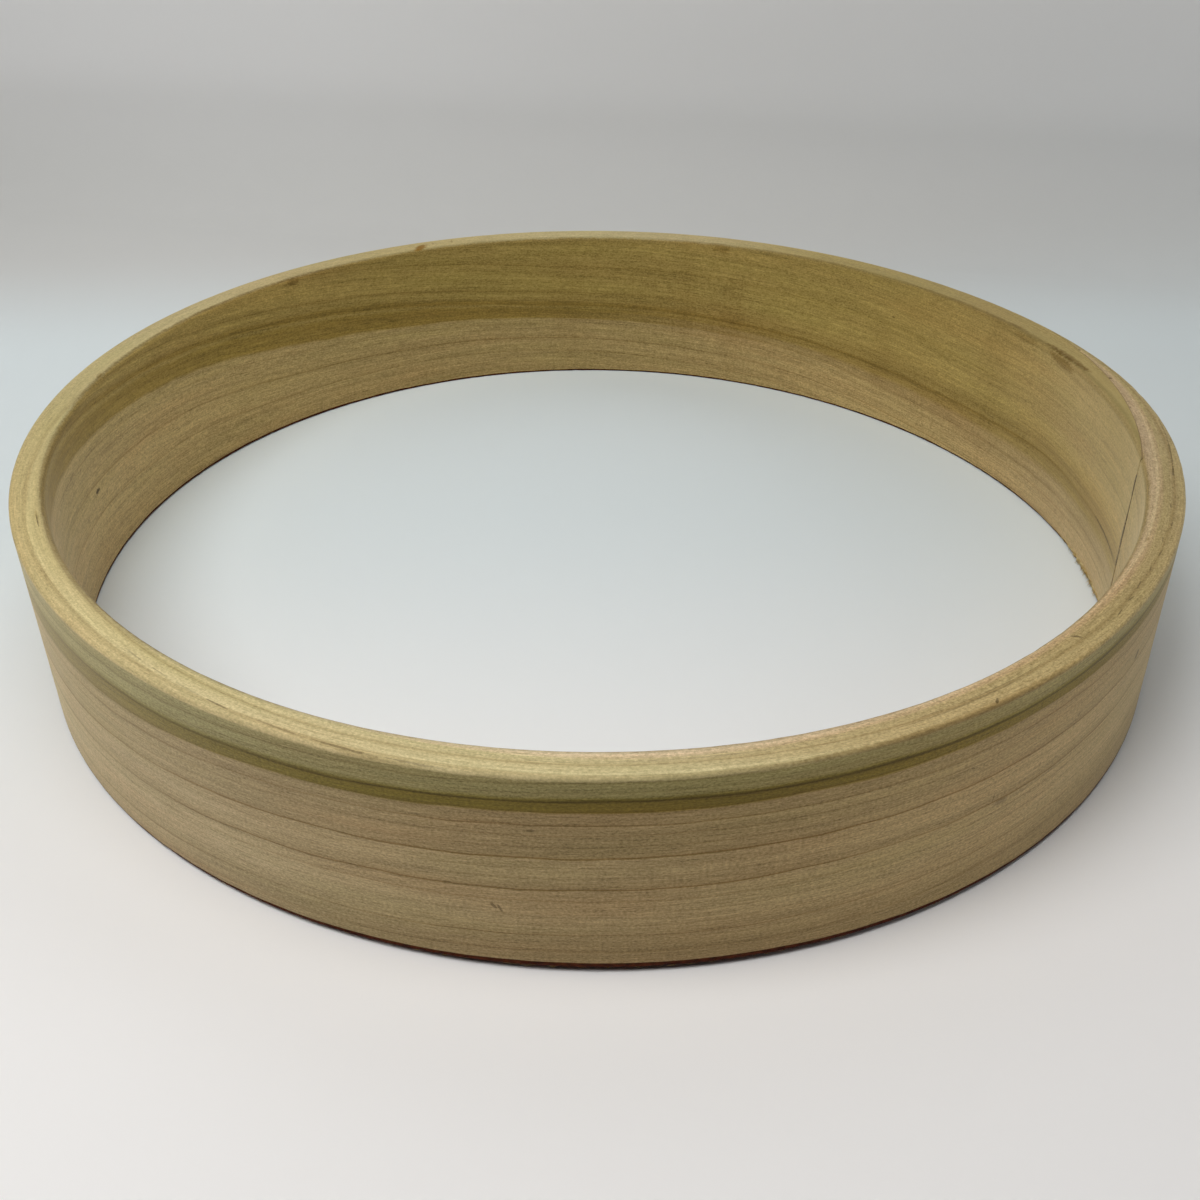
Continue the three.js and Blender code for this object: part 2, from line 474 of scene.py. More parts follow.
def make_board():
    turns = board_turns()
    depth, height = board_sections(turns)
    turn = np.broadcast_to(turns[:, None], depth.shape)
    columns, rows = depth.shape
    inset, lift = wear(turn, depth, height)
    worn_turn = ragged_ends(turn, depth, height)
    points = ring_point(worn_turn, depth + inset, height + lift).reshape(-1, 3)
    faces = strip_faces(columns, rows)
    faces += end_faces(0, rows, flip=False)
    faces += end_faces((columns - 1) * rows, rows, flip=True)
    board = new_mesh_object("poplar_ring", points, faces)
    along = (worn_turn - BOARD_START) * MEAN_RADIUS
    share = depth / wall_at(turn)
    above_edge = height - bottom_rise(turn)
    place = np.stack([along, grain_ring(worn_turn, share, height), depth], -1).reshape(-1, 3)
    turn_deg = np.degrees(worn_turn)
    add_attribute(board.data, "board_place", place)
    add_attribute(board.data, "above_edge", above_edge.ravel())
    add_attribute(board.data, "share", share.ravel())
    add_attribute(board.data, "below_top", (BOARD_WIDTH - height).ravel())
    for name, points in SHARES_BY_TURN.items():
        add_attribute(board.data, name, through(points, turn_deg).ravel())
    around = np.broadcast_to(np.arange(rows, dtype=float)[None], depth.shape).ravel()
    lay_out_board(board.data, np.broadcast_to(along, depth.shape).ravel(), around, columns, rows)
    for material in (poplar(), shaded_bottom_poplar()):
        board.data.materials.append(material)
    # The second material is painted shade along the bottom edge.
    paint_bottom_shade(board.data, columns, rows)
    return board


def make_glue_film():
    """The cured film between the two tapered ends, unevenly short of the rim."""
    columns = FILM_COLUMNS
    rows = FILM_ROWS
    short_turn = FILM_SHORT / MEAN_RADIUS
    turns = np.linspace(BOARD_START + short_turn, BOARD_END - 2 * math.pi - short_turn, columns)
    turn = turns[:, None]
    depth = scarf_depth(turn)
    half = GLUE_THICKNESS / 2 * FILM_SHARE
    along = turn * MEAN_RADIUS
    short = (0.04 + 0.35 * value_noise(along / (5 * MM), 0.5, 31) ** 2) * MM
    low = bottom_rise(turn) + BOTTOM_EASE
    high = top_height(turn, depth) - short
    climb = np.linspace(0, 1, rows)[None]
    height = low + (high - low) * climb
    outer = ring_point(turn, depth - half, height)
    inner = ring_point(turn, depth + half, height)
    points = np.concatenate([outer, inner[:, ::-1]], 1).reshape(-1, 3)
    faces = strip_faces(columns, 2 * rows)
    for start, flip in ((0, False), ((columns - 1) * 2 * rows, True)):
        for k in range(rows - 1):
            face = [start + k, start + k + 1, start + 2 * rows - 2 - k, start + 2 * rows - 1 - k]
            faces.append(face[::-1] if flip else face)
    return new_mesh_object("glue_film", points, faces)


def fibre(base, direction, lift, length, radius, bend):
    """A thin tapered splinter: its points and faces, counted from nought."""
    sides = FIBRE_SIDES
    steps = FIBRE_STEPS
    points = []
    side = direction.cross(lift).normalized()
    for step in range(steps):
        share = step / (steps - 1)
        middle = base + direction * (length * share) + lift * (bend * share * share)
        middle = middle + side * (bend * 0.4 * share ** 3)
        size = radius * (1 - FIBRE_TAPER * share)
        middle.z = max(middle.z, 1.1 * size)
        for corner in range(sides):
            swing = 2 * math.pi * corner / sides
            points.append(middle + (lift * math.cos(swing) + side * math.sin(swing)) * size)
    faces = [list(range(sides))[::-1], list(range((steps - 1) * sides, steps * sides))]
    for step in range(steps - 1):
        for corner in range(sides):
            near = step * sides + corner
            after = step * sides + (corner + 1) % sides
            faces.append([near, after, after + sides, near + sides])
    return points, faces


def make_splinters():
    """Torn fibres along the bottom edges and on the torn rim."""
    random = np.random.default_rng(5)
    points = []
    faces = []

    def between(low, high):
        return random.uniform(low, high) * MM

    def grow(turn_deg, depth, height, outward, upward, length, radius, bend):
        turn = math.radians(turn_deg)
        base = Vector(ring_point(np.array(turn), depth, height))
        along = Vector((-math.sin(turn), math.cos(turn), 0)) * random.choice([-1, 1])
        out = Vector((math.cos(turn), math.sin(turn), 0))
        lift = (out * outward + Vector((0, 0, 1)) * upward).normalized()
        more_points, more_faces = fibre(base, along, lift, length, radius, bend)
        first = len(points)
        points.extend(more_points)
        faces.extend([[first + k for k in face] for face in more_faces])

    # The frayed bottom corner inside the lap.
    for _ in range(LAP_FIBRES):
        turn_deg = random.normal(-2.5, 3.6)
        wall = float(wall_at(np.array(math.radians(turn_deg))))
        grow(turn_deg, wall - 0.05 * MM, between(0.45, 1.9), -1, random.uniform(0, 0.35),
             length=between(1.2, 4.6), radius=between(0.1, 0.24), bend=between(0.2, 1.7))
    # A few fibres that cross the dark gap under the front.
    for _ in range(GAP_FIBRES):
        turn_deg = random.uniform(228, 312)
        rise = float(bottom_rise(np.array(math.radians(turn_deg))))
        grow(turn_deg, 0.15 * MM, rise + between(0.1, 0.4), 0.3, -1,
             length=between(0.8, 2.2), radius=between(0.05, 0.09), bend=between(0.05, 0.25))
    # Torn grain that stands up on the right of the rim.
    for _ in range(RIM_FIBRES):
        turn_deg = random.uniform(284, 356)
        depth = between(1.2, 8)
        grow(turn_deg, depth, BOARD_WIDTH - 0.33 * MM, 0, 1,
             length=between(0.8, 2.6), radius=between(0.06, 0.13), bend=between(0.05, 0.2))
    return new_mesh_object("edge_splinters", points, faces, smooth_deg=80)


# Materials.


def srgb(red, green, blue):
    """A colour given as it looks on a screen, from 0 to 255, as the linear colour that a shader takes."""
    linear = []
    for value in (red, green, blue):
        value = value / 255
        linear.append(value / 12.92 if value <= 0.04045 else ((value + 0.055) / 1.055) ** 2.4)
    return (*linear, 1)


def toned(wood, tone):
    """A wood's colour made darker or paler. Darker wood is also browner."""
    red, green, blue = wood
    return srgb(red * tone, green * tone ** 1.2, blue * tone ** 1.6)


class Shade:
    """A material's node tree, with short calls for the nodes that this script uses."""

    def __init__(self, name):
        self.material = bpy.data.materials.new(name)
        self.material.use_nodes = True
        self.tree = self.material.node_tree
        self.tree.nodes.clear()

    def feed(self, socket, value):
        if isinstance(value, bpy.types.NodeSocket):
            self.tree.links.new(value, socket)
        else:
            socket.default_value = value

    def node(self, kind, inputs=None, **settings):
        made = self.tree.nodes.new("ShaderNode" + kind)
        for name, value in settings.items():
            setattr(made, name, value)
        for key, value in (inputs or {}).items():
            self.feed(made.inputs[key], value)
        return made

    def attribute(self, name, output="Fac"):
        return self.node("Attribute", attribute_name=name).outputs[output]

    def math(self, operation, *values, clamp=False):
        made = self.node("Math", operation=operation, use_clamp=clamp)
        for socket, value in zip(made.inputs, values):
            self.feed(socket, value)
        return made.outputs[0]

    def plus(self, first, second, clamp=False):
        return self.math("ADD", first, second, clamp=clamp)

    def times(self, first, second, clamp=False):
        return self.math("MULTIPLY", first, second, clamp=clamp)

    def less(self, first, second):
        return self.math("SUBTRACT", first, second)

    def times_plus(self, first, second, third):
        return self.math("MULTIPLY_ADD", first, second, third)

    def distance(self, value, from_value):
        return self.math("ABSOLUTE", self.less(value, from_value))

    def noise(self, vector, texture):
        """A noise texture, given as its cells in a metre each way, its detail and its roughness."""
        cells, detail, roughness = texture
        scaled = self.node("VectorMath", {0: vector, 1: cells}, operation="MULTIPLY").outputs[0]
        inputs = {"Vector": scaled, "Scale": 1, "Detail": detail, "Roughness": roughness}
        return self.node("TexNoise", inputs).outputs["Fac"]

    def smooth(self, value, low, high, to_low=0.0, to_high=1.0):
        """A soft step: to_low up to the first place and to_high from the second one."""
        inputs = {"Value": value, "From Min": low, "From Max": high, "To Min": to_low, "To Max": to_high}
        return self.node("MapRange", inputs, interpolation_type="SMOOTHSTEP").outputs["Result"]

    def spread(self, value, low, high, to_low, to_high):
        """The same with a straight slope."""
        inputs = {"Value": value, "From Min": low, "From Max": high, "To Min": to_low, "To Max": to_high}
        return self.node("MapRange", inputs).outputs["Result"]

    def mix(self, share, first, second, blend="MIX"):
        made = self.node("Mix", data_type="RGBA", blend_type=blend)
        self.feed(made.inputs[0], share)
        self.feed(made.inputs[6], first)
        self.feed(made.inputs[7], second)
        return made.outputs[2]

    def filtered(self, colour, tint):
        """A colour multiplied by a tint."""
        return self.mix(1.0, colour, tint, "MULTIPLY")

    def tinted(self, share, colour, tint):
        """A colour of which a share is multiplied by a tint."""
        return self.mix(share, colour, self.filtered(colour, tint))

    def ramp(self, value, stops):
        made = self.node("ValToRGB", {"Fac": value})
        elements = made.color_ramp.elements
        while len(elements) < len(stops):
            elements.new(0.5)
        for element, (place, colour) in zip(elements, stops):
            element.position = place
            element.color = colour
        return made.outputs["Color"]

    def bump(self, height, strength, distance):
        inputs = {"Height": height, "Strength": strength, "Distance": distance}
        return self.node("Bump", inputs).outputs[0]

    def finish(self, colour, roughness, bump, specular, sheen=0.0):
        inputs = {
            "Base Color": colour, "Roughness": roughness, "Normal": bump, "Specular IOR Level": specular,
            "Sheen Weight": sheen, "Sheen Roughness": 0.4, "Sheen Tint": (1.0, 0.88, 0.6, 1),
        }
        shader = self.node("BsdfPrincipled", inputs)
        self.node("OutputMaterial", {"Surface": shader.outputs[0]})
        return self.material


# Noise textures: cells in a metre along the board, across its rings or up it, and through it, then how
# much detail they hold and how rough that is.
PATCHES = ((7, 26, 20), 2, 0.5)
WIDE_STREAKS = ((9, 240, 160), 3, 0.6)
STREAKS = ((22, 800, 500), 3, 0.62)
THREADS = ((110, 2600, 1600), 2, 0.6)
FUZZ = ((1100, 1900, 1900), 2, 0.7)
FLECKS = ((230, 2300, 1500), 2, 0.5)
TICKS = ((900, 170, 300), 2, 0.6)
TICKED_PLACES = ((11, 30, 20), 1, 0.5)
TORN_GRAIN = ((300, 600, 2600), 3, 0.7)
SANDING_FRINGE = ((500, 300, 300), 2, 0.5)
RING_WAVES = ((9, 30, 30), 1, 0.5)
RING_RIPPLES = ((55, 200, 160), 2, 0.5)
LINE_FADING = ((14, 60, 10), 2, 0.5)
COLOUR_DRIFT = ((12, 80, 40), 3, 0.5)
MARK_WOBBLE = ((900,) * 3, 2, 0.5)
# For the painted shade of the bottom edge.
BOTTOM_SHADE_CLOUD = ((400, 900, 900), 3, 0.6)
BOTTOM_SHADE_GRIT = ((2000,) * 3, 2, 0.5)
GLUE_CLOUD = ((260,) * 3, 3, 0.6)
GLUE_GRIT = ((2200,) * 3, 2, 0.5)
FIBRE_CLOUD = ((400,) * 3, 2, 0.6)
FIBRE_GRIT = ((3000,) * 3, 2, 0.5)
PAPER_CLOUD = ((3,) * 3, 2, 0.5)
PAPER_GRIT = ((500,) * 3, 2, 0.5)

# How far the textures of the grain lighten and darken the wood, as shares of its brightness.
PATCH_TONES = (1.03, 1.13)
WIDE_TONE = 0.1
STREAK_TONE = 0.19
THREAD_TONE = 0.24
FUZZ_TONE = 0.42
FLECK_TONE = 0.22
TICK_TONE = 0.08
TORN_FUZZ_TONE = 0.14
TORN_TONES = (-0.2, 0.18)
# The sanded rim and the paler stretches of the inner face, partly a painted sheen, are smoother: pulled
# this far to an even tone.
EVEN_TONE = 1.07
SMOOTHER_SHARE = 0.35

# The wood's colours on the outer face, on the inner face and on the rim, as they look on a screen.
OUTER_SAPWOOD = (174, 149, 100)
OUTER_OLIVE = (134, 114, 61)
OUTER_HEARTWOOD = (159, 144, 89)
INNER_SAPWOOD = (173, 147, 91)
INNER_OLIVE = (143, 116, 51)
INNER_HEARTWOOD = (164, 138, 71)
RIM_SAPWOOD = (205, 181, 139)
RIM_HEARTWOOD = (192, 174, 124)
HEART_LINE_COLOUR = srgb(40, 28, 0)
CORNER_COLOUR = srgb(60, 44, 0)
CREAM_COLOUR = srgb(236, 220, 178)
MARK_COLOUR = srgb(60, 38, 4)
RESIN_COLOUR = srgb(136, 96, 0)
BLACK = (0, 0, 0, 1)

# Tints, which a colour is multiplied by.
INNER_TINT = (1.0, 1.02, 1.1, 1)
# The pale tints are partly a painted sheen on the inner face.
PALE_AND_SHEEN_TINT = (1.07, 1.09, 1.34, 1)
PALE_HEARTWOOD_SHEEN_TINT = (1.08, 1.1, 1.34, 1)
OUTER_TINT = (1.0, 1.01, 1.07, 1)
# Painted sheen on the outer face where it is seen edge-on.
PAINTED_SHEEN_TINT = (1.03, 1.1, 1.3, 1)
OLIVE_TINT = (0.86, 0.84, 0.40, 1)
RIM_TINT = (1.0, 1.03, 1.08, 1)
TORN_TINT = (1.03, 0.965, 0.98, 1)
BROWN_TINT = (1.0, 0.915, 0.62, 1)
LINE_TINT = (0.57, 0.48, 0.33, 1)
PINKER_TINT = (1.03, 0.93, 0.9, 1)
GREENER_TINT = (0.95, 1.0, 0.9, 1)
STAIN_AND_SHADE_TINT = (0.42, 0.31, 0.08, 1)

# The broad bands across the growth rings: for each wood in turn, its ring places in millimetres from the sap
# line and its tone there.
RING_SPAN_MM = 64
OUTER_BANDS = [
    (OUTER_SAPWOOD, [
        (-64, 0.91), (-50, 0.92), (-45, 0.94), (-40, 0.99), (-35, 1.02), (-30, 1.01), (-25, 0.98),
        (-20, 1.02), (-16, 1), (-12, 0.96), (-6, 0.97), (-2, 0.96), (-0.7, 0.91),
    ]),
    (OUTER_OLIVE, [(0.5, 1), (2.5, 1.03), (5, 0.98), (7.4, 1)]),
    (OUTER_HEARTWOOD, [(8.3, 0.92), (9.6, 0.97), (12, 1.01), (13.5, 0.96), (16, 1), (64, 1.01)]),
]
INNER_BANDS = [
    (INNER_SAPWOOD, [
        (-64, 0.96), (-40, 0.97), (-20, 1.01), (-16, 0.98), (-6, 1.01), (-1.8, 1.01), (-0.6, 0.96),
    ]),
    (INNER_OLIVE, [(0.3, 1.06), (2.6, 1), (4.2, 0.97), (5.2, 1.03)]),
    (INNER_HEARTWOOD, [(6, 0.96)]),
    (INNER_OLIVE, [(7, 1.04), (8.2, 0.99)]),
    (INNER_HEARTWOOD, [
        (9.4, 0.92), (11.4, 1), (13.6, 0.93), (16, 1), (20, 1.01), (26, 0.97), (32, 1.02), (64, 1.02),
    ]),
]
# The same, for the part of the inner face where the heartwood fades in slowly.
FADED_BANDS = [
    (INNER_SAPWOOD, [(-64, 1), (-9, 1.03), (-3, 1.01), (-0.6, 0.97), (0.2, 0.95), (1.4, 0.98), (3, 0.95)]),
    (INNER_HEARTWOOD, [(4.6, 0.95), (6.4, 0.9)]),
    (INNER_OLIVE, [(7.3, 0.99)]),
    (INNER_HEARTWOOD, [(8.2, 0.95), (10.6, 0.92), (13.5, 1), (18, 1.04), (24, 1), (40, 1.02), (64, 1.01)]),
]
RIM_BANDS = [
    (RIM_SAPWOOD, [(-64, 1), (-12, 0.99), (-6, 1), (-3, 1.01), (-1.2, 1.04), (0.4, 1.01)]),
    (RIM_HEARTWOOD, [
        (2, 1.02), (5.6, 1), (7, 0.9), (8.4, 1.01), (12.6, 1.05), (13.8, 0.93), (15.5, 1), (30, 0.98),
        (64, 0.97),
    ]),
]
# Thin dark growth lines: ring place in millimetres, width in millimetres and strength.
GROWTH_LINES = [
    (-53, 0.5, 0.4), (-47, 0.9, 0.4), (-41.2, 0.5, 0.65), (-37.5, 0.4, 0.3), (-33.5, 0.4, 0.25),
    (-29.4, 0.45, 0.5), (-25.6, 0.45, 1.0), (-21.5, 0.35, 0.3), (-18.4, 0.35, 0.2), (-15.2, 0.5, 1.3),
    (-11.5, 0.35, 0.4), (-7.9, 0.4, 0.5), (-4.6, 0.5, 0.7), (0.2, 0.4, 0.6), (3.4, 0.3, 0.35),
    (7.2, 0.5, 0.65), (10.5, 0.35, 0.4), (13.4, 0.4, 0.5), (19, 0.35, 0.4), (23, 0.3, 0.25), (26, 0.4, 0.6),
    (31, 0.3, 0.35), (37, 0.35, 0.4),
]
# A line at least this strong darkens the wood above it by a share of its strength, as far as the reach.
STRONG_LINE = 0.6
LATEWOOD_SHARE = 0.3
LATEWOOD_REACH_MM = 3.2
# How much weaker the growth lines are on the sanded rim and on the inner face.
RIM_LINE_SHARE = 0.4
INNER_LINE_SHARE = 0.55


def ring_ramp(shade, ring_mm, bands):
    where = shade.spread(ring_mm, -RING_SPAN_MM, RING_SPAN_MM, 0, 1)
    stops = []
    for wood, tones in bands:
        stops += [((place / RING_SPAN_MM + 1) / 2, toned(wood, tone)) for place, tone in tones]
    return shade.ramp(where, stops)


def growth_lines(shade, ring_mm, fading):
    """The dark lines' sum, from 0 to 1, fading in and out. Strong lines darken the wood above them."""
    total = 0.0
    for place, width, strength in GROWTH_LINES:
        above = shade.less(ring_mm, place)
        total = shade.plus(total, shade.smooth(shade.math("ABSOLUTE", above), 0, width, strength, 0))
        if strength >= STRONG_LINE:
            rise = shade.smooth(above, -0.2, 0.1, 0, strength * LATEWOOD_SHARE)
            fall = shade.smooth(above, 0.1, LATEWOOD_REACH_MM, 1, 0)
            total = shade.plus(total, shade.times(rise, fall))
    return shade.times(total, fading, clamp=True)


# Marks on the board: turn in degrees, height on a face or depth on the rim, length and width in millimetres,
# lean from the grain in degrees, and strength. Marks are dark, and stains darken the wood under them.
INNER_MARKS = [
    (176, 30.4, 4.2, 1.5, 0, 0.95), (200, 47.8, 1, 0.8, 0, 0.8), (42.6, 49.2, 1.6, 0.9, 10, 0.7),
    (133, 63, 6, 1.6, 0, 0.35), (-12.1, 54, 8, 2, 88, 0.9), (-12.15, 45, 11, 1.4, 90, 0.7),
    (-12.05, 34, 16, 2.2, 89, 0.95), (-12.1, 25, 4, 2.6, 90, 0.8), (-12.1, 12, 24, 0.9, 90, 0.3),
    (-6.5, 23, 34, 0.9, 1.5, 0.7),
]
OUTER_MARKS = [
    (262.3, 20.8, 2.6, 0.9, -50, 0.6), (262.8, 20, 3, 0.8, -62, 0.55), (322.6, 43.6, 3.4, 1.7, 60, 0.85),
    (302.3, 31, 3, 0.4, 80, 0.5), (303.2, 28.4, 5, 1.8, 0, 0.35), (312, 43, 1.8, 0.7, 45, 0.5),
    (265.4, 46.6, 2.2, 1, 0, 0.45), (307.5, 34, 1.4, 0.5, 80, 0.4), (299.4, 45.4, 1.6, 0.6, -30, 0.4),
    (311.5, 40.2, 1.6, 0.8, 60, 0.4),
]
RIM_MARKS = [
    (202.3, 7.8, 8, 0.4, 0, 0.6), (349, 2.5, 24, 0.5, -3.3, 0.55), (344.8, 3.4, 5, 0.8, -6, 0.5),
    (354.5, 1.5, 12, 0.5, -3, 0.4), (366.4, 5.2, 1.8, 1.2, 70, 0.6), (368, 8, 1.6, 0.9, 0, 0.4),
    (372.7, 3.4, 1.6, 0.8, 0, 0.6), (374.1, 2.5, 1.4, 0.7, 0, 0.5), (359.1, 7.8, 1.2, 0.6, 0, 0.5),
    (357.2, 8.1, 1.2, 0.6, 0, 0.5), (354.7, 7.5, 1.4, 0.6, 0, 0.4), (301, 1.2, 2.4, 0.9, 40, 0.7),
    (312.5, 6.3, 2.6, 0.8, -50, 0.6), (318, 3.2, 4, 0.4, 6, 0.6), (320.5, 3.6, 3.5, 0.4, -8, 0.5),
    (323, 4.2, 5, 0.45, 5, 0.6), (326, 4, 4, 0.4, 10, 0.5), (229.5, 4.7, 9, 0.5, -3, 0.35),
    (233, 4.1, 8, 0.4, -3, 0.25), (237, 3.3, 10, 0.5, -3, 0.25), (240, 2.7, 8, 0.6, -4, 0.5),
    (246, 2, 16, 0.6, -3.5, 0.3), (251.5, 1.1, 18, 0.7, -3, 0.45), (257, 0.6, 14, 0.5, -2, 0.35),
    (277, 5.9, 44, 0.7, 0, 0.2), (299, 4.1, 36, 0.6, 1, 0.3), (302, 5.1, 30, 0.5, 0, 0.25),
    (296, 5, 9, 0.4, 0, 0.3), (329, 3.6, 4.5, 0.45, -5, 0.5), (331.5, 4.4, 3.5, 0.4, 8, 0.5),
    (334.5, 3.2, 4, 0.4, 0, 0.5), (338, 4.4, 3, 0.4, 10, 0.5),
]
INNER_STAINS = [
    (12.6, 63.1, 18, 3.2, 3, 0.55), (20, 63.4, 14, 3, 0, 0.3), (70, 63.4, 9, 3, 0, 0.4),
    (133, 63.4, 7, 3, 0, 0.4), (93, 34, 60, 15, 90, 0.08), (75, 38, 60, 9, 90, 0.1),
    (68, 28, 50, 13, 90, 0.12), (44, 28, 36, 12, 90, 0.1), (25, 44, 50, 17, 90, 0.1),
]
RESIN_SPOTS = [(113.4, 7.4, 9.5, 4, 42, 1)]
# The long rim stains along the inner corner, 9 to 11 mm deep, are partly painted shade and partly stains.
RIM_STAINS_AND_SHADE = [
    (108.7, 4.2, 3.6, 1, 80, 0.6), (111.4, 4.4, 3, 1, 80, 0.5), (331, 8.4, 3, 1, 0, 0.4),
    (366.4, 5.2, 2.4, 1.6, 70, 0.4), (300, 0.4, 100, 2.2, 0, 0.35), (253, 0.6, 40, 1.4, -3, 0.2),
    (12.5, 9.9, 26, 3, 0, 0.7), (9, 9.6, 8, 1.6, 0, 0.3), (22.5, 9.4, 12, 1.8, 0, 0.3),
    (30, 11, 130, 4, 0, 0.4), (58, 10.6, 60, 4, 0, 0.4), (70.5, 10.2, 9, 3.4, 0, 0.4),
    (150, 10.9, 200, 4.4, 0, 0.65), (133.5, 10, 10, 2.8, 0, 0.3), (147, 10.2, 26, 2.4, 0, 0.25),
    (168.5, 9, 7, 1.6, 20, 0.4), (190, 10, 76, 2, 0, 0.45), (201.5, 7.8, 9, 0.8, 0, 0.4),
]


def marks(shade, along_mm, across_mm, wobble, list_of_marks):
    """How much a list of marks covers, from 0 to 1, at a place along the board and across it."""
    total = 0.0
    for turn_deg, centre, length, width, lean_deg, strength in list_of_marks:
        start = (math.radians(turn_deg) - BOARD_START) * MEAN_RADIUS / MM
        rise = math.sin(math.radians(lean_deg))
        level = math.cos(math.radians(lean_deg))
        half_length = length / 2
        half_width = width / 2
        run_start = -(start * level + centre * rise) / half_length
        off_start = (start * rise - centre * level) / half_width
        # Each mark waits for the one before it, because a shader can hold only a few values at once.
        along = shade.times_plus(total, 0.0, along_mm)
        # It is an ellipse: where a place lies along it and beside it, as shares of its half sizes.
        run = shade.times_plus(along, level / half_length, run_start)
        run = shade.times_plus(across_mm, rise / half_length, run)
        off = shade.times_plus(along, -rise / half_width, off_start)
        off = shade.times_plus(across_mm, level / half_width, off)
        away = shade.times_plus(run, run, wobble)
        away = shade.times_plus(off, off, away)
        total = shade.plus(total, shade.smooth(away, 0.3, 1.5, strength, 0))
    return total


class BoardPlace:
    """Where a place lies in the board: x along it, y across its growth rings and z through its thickness.

    In upright, y is the height above the bottom edge instead.
    """

    def __init__(self, shade):
        self.grain = shade.attribute("board_place", "Vector")
        along, ring, depth = shade.node("SeparateXYZ", {0: self.grain}).outputs
        self.share = shade.attribute("share")
        above_edge = shade.attribute("above_edge")
        self.edge_mm = shade.times(above_edge, 1 / MM)
        self.drop_mm = shade.times(shade.attribute("below_top"), 1 / MM)
        self.along_mm = shade.times(along, 1 / MM)
        self.depth_mm = shade.times(depth, 1 / MM)
        self.upright = shade.node("CombineXYZ", {0: along, 1: above_edge, 2: depth}).outputs[0]
        self.inside = shade.math("GREATER_THAN", self.share, 0.5)
        self.outside = shade.less(1.0, self.inside)

        # The sanding reaches a little over the two rounded corners.
        fringe = shade.spread(shade.noise(self.upright, SANDING_FRINGE), 0.3, 0.7, -0.15, 0.15)
        ragged_drop = shade.plus(self.drop_mm, fringe)
        over_outer = shade.times(self.outside, shade.smooth(ragged_drop, 0.75, 1.6, 1, 0))
        over_inner = shade.times(self.inside, shade.smooth(ragged_drop, 0.05, 0.7, 1, 0))
        self.sanded = shade.plus(over_outer, over_inner)
        self.torn = shade.times(self.sanded, shade.attribute("rim_tear"))

        # The rings wander: slow waves, and small ones that make the lines uneven.
        waves = shade.spread(shade.noise(self.grain, RING_WAVES), 0.3, 0.7, -0.7, 0.7)
        ripples = shade.spread(shade.noise(self.grain, RING_RIPPLES), 0.3, 0.7, -0.28, 0.28)
        self.ring_mm = shade.plus(shade.times(ring, 1 / MM), shade.plus(waves, ripples))


def inner_colour(shade, board):
    faded = ring_ramp(shade, board.ring_mm, FADED_BANDS)
    crisp = ring_ramp(shade, board.ring_mm, INNER_BANDS)
    inner = shade.mix(shade.attribute("inner_crisp"), faded, crisp)
    # Partly painted light: the inner face is lighter where it is seen edge-on at the left.
    inner = shade.filtered(inner, shade.attribute("inner_tone_and_light", "Color"))
    # Partly a painted sheen: paler beside the lap and at the far left, where the face is seen edge-on.
    inner = shade.tinted(shade.attribute("inner_pale_and_sheen"), inner, PALE_AND_SHEEN_TINT)
    pale_heartwood = shade.times(shade.attribute("inner_pale_and_sheen"), shade.smooth(board.ring_mm, 12, 26))
    inner = shade.tinted(pale_heartwood, inner, PALE_HEARTWOOD_SHEEN_TINT)
    inner = shade.filtered(inner, INNER_TINT)
    # The rounded inner corner is darker and more olive below the sanded part.
    return shade.mix(shade.smooth(board.drop_mm, 1.2, 2.8, 0.3, 0), inner, CORNER_COLOUR)


def outer_colour(shade, board):
    ring_mm = board.ring_mm
    outer = ring_ramp(shade, ring_mm, OUTER_BANDS)
    # Painted sheen: the outer face is paler and cooler where it is seen edge-on at the left.
    outer = shade.tinted(shade.attribute("outer_painted_sheen"), outer, PAINTED_SHEEN_TINT)
    in_heart = shade.times(shade.smooth(ring_mm, -0.8, 0.4), shade.smooth(ring_mm, 7.5, 9.5, 1, 0))
    in_heart = shade.times(in_heart, shade.attribute("outer_heart"))
    outer = shade.tinted(in_heart, outer, OLIVE_TINT)
    heart_line = shade.smooth(shade.distance(ring_mm, 7.3), 0.2, 1.1, 0.36, 0)
    heart_line = shade.times(heart_line, shade.attribute("outer_heart"))
    outer = shade.mix(heart_line, outer, HEART_LINE_COLOUR)
    # Partly painted shade: the outer face is darker at the front and at the far right.
    outer = shade.filtered(outer, shade.attribute("outer_tone_and_shade", "Color"))
    return shade.filtered(outer, OUTER_TINT)


def rim_colour(shade, board):
    ring_mm = board.ring_mm
    rim = ring_ramp(shade, ring_mm, RIM_BANDS)
    # A cream line beside the sap line shows where the grain is torn.
    cream = shade.smooth(shade.distance(ring_mm, -0.9), 0, 0.75, 0.4, 0)
    rim = shade.mix(shade.times(cream, shade.attribute("rim_tear")), rim, CREAM_COLOUR)
    rim = shade.tinted(shade.attribute("rim_tear"), rim, TORN_TINT)
    browner = shade.times(shade.attribute("rim_brown"), shade.smooth(ring_mm, -2.5, -0.5, 0.5, 1))
    rim = shade.tinted(browner, rim, BROWN_TINT)
    rim = shade.filtered(rim, RIM_TINT)
    # Partly painted shade: the rim darkens towards the right, away from the lamp.
    rim = shade.filtered(rim, shade.attribute("rim_tone_and_shade", "Color"))
    # Painted shade: it darkens towards the inner corner, except where it is torn.
    untorn = shade.less(1.0, shade.attribute("rim_tear"))
    shoulder_shade = shade.times(untorn, shade.smooth(board.share, 0.74, 0.88, 0, 0.24))
    return shade.mix(shoulder_shade, rim, BLACK)


